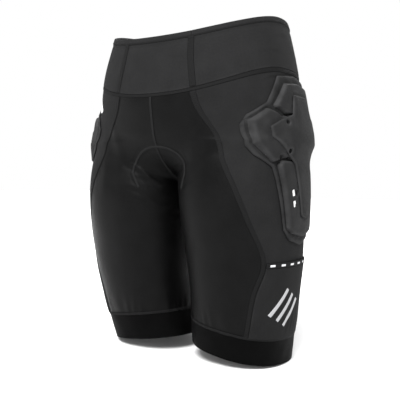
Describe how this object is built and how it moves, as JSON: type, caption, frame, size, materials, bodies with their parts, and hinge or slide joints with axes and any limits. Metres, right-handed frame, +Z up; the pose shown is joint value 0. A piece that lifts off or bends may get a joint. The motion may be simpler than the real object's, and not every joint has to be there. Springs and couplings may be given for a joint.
{
  "type": "padded impact shorts",
  "caption": "Close-fitting padded shorts with a high waistband, moulded hip pads, a chamois in the crotch, thigh pockets and elastic hem bands.",
  "frame": {"origin": "on the plane of the lowest hem points, midway across and midway front to back", "axes": "+Z up, -Y the front of the garment, +X the wearer's left"},
  "size_m": [0.3474, 0.2307, 0.469],
  "materials": {
    "waistband_knit": "matte brushed stretch knit",
    "lining_knit": "soft brushed knit",
    "elastic": "ribbed elastic webbing",
    "front_knit": "smooth stretch knit with a faint sheen",
    "side_knit": "matte stretch knit",
    "hem_knit": "smooth compression knit",
    "tape": "woven binding tape",
    "pad_skin": "moulded knit-faced foam, matte",
    "pad_backing": "thin knit backing",
    "reflective": "satin heat-transfer film",
    "chamois_knit": "brushed microfibre over foam",
    "thread": "flat overlock thread"
  },
  "bodies": {
    "root": {"back_panel_left": "front_knit", "back_panel_right": "front_knit", "back_seam_stitching_left": "thread", "back_seam_stitching_right": "thread", "band_seam_stitching": "thread", "centre_back_stitching": "thread", "centre_front_stitching": "thread", "chamois_back_base": "chamois_knit", "chamois_front_base": "chamois_knit", "chamois_front_pad": "chamois_knit", "chamois_sit_pad_left": "chamois_knit", "chamois_sit_pad_right": "chamois_knit", "chamois_stitching": "thread", "front_panel_left": "front_knit", "front_panel_right": "front_knit", "front_seam_stitching_left": "thread", "front_seam_stitching_right": "thread", "hem_band_left": "hem_knit", "hem_band_right": "hem_knit", "hem_gripper_left": "elastic", "hem_gripper_right": "elastic", "hem_stitching_left": "thread", "hem_stitching_right": "thread", "hip_pad_backing_left": "pad_backing", "hip_pad_backing_right": "pad_backing", "hip_pad_badge_left": "reflective", "hip_pad_badge_right": "reflective", "hip_pad_centre_block_left": "pad_skin", "hip_pad_centre_block_right": "pad_skin", "hip_pad_centre_plate_left": "pad_skin", "hip_pad_centre_plate_right": "pad_skin", "hip_pad_flange_left": "pad_skin", "hip_pad_flange_right": "pad_skin", "hip_pad_front_wing_left": "pad_skin", "hip_pad_front_wing_right": "pad_skin", "hip_pad_lower_lobe_left": "pad_skin", "hip_pad_lower_lobe_right": "pad_skin", "hip_pad_rear_wing_left": "pad_skin", "hip_pad_rear_wing_right": "pad_skin", "hip_pad_upper_lobe_left": "pad_skin", "hip_pad_upper_lobe_right": "pad_skin", "hip_print_right": "reflective", "pocket_panel_left": "side_knit", "pocket_panel_right": "side_knit", "pocket_tape_left": "tape", "pocket_tape_right": "tape", "rim_stitching": "thread", "side_panel_left": "side_knit", "side_panel_right": "side_knit", "thigh_print_left": "reflective", "thigh_print_right": "reflective", "waist_elastic": "elastic", "waist_seam_stitching": "thread", "waistband_back": "waistband_knit", "waistband_front": "waistband_knit", "waistband_lining": "lining_knit", "waistband_side_left": "waistband_knit", "waistband_side_right": "waistband_knit"}
  },
  "joints": []
}
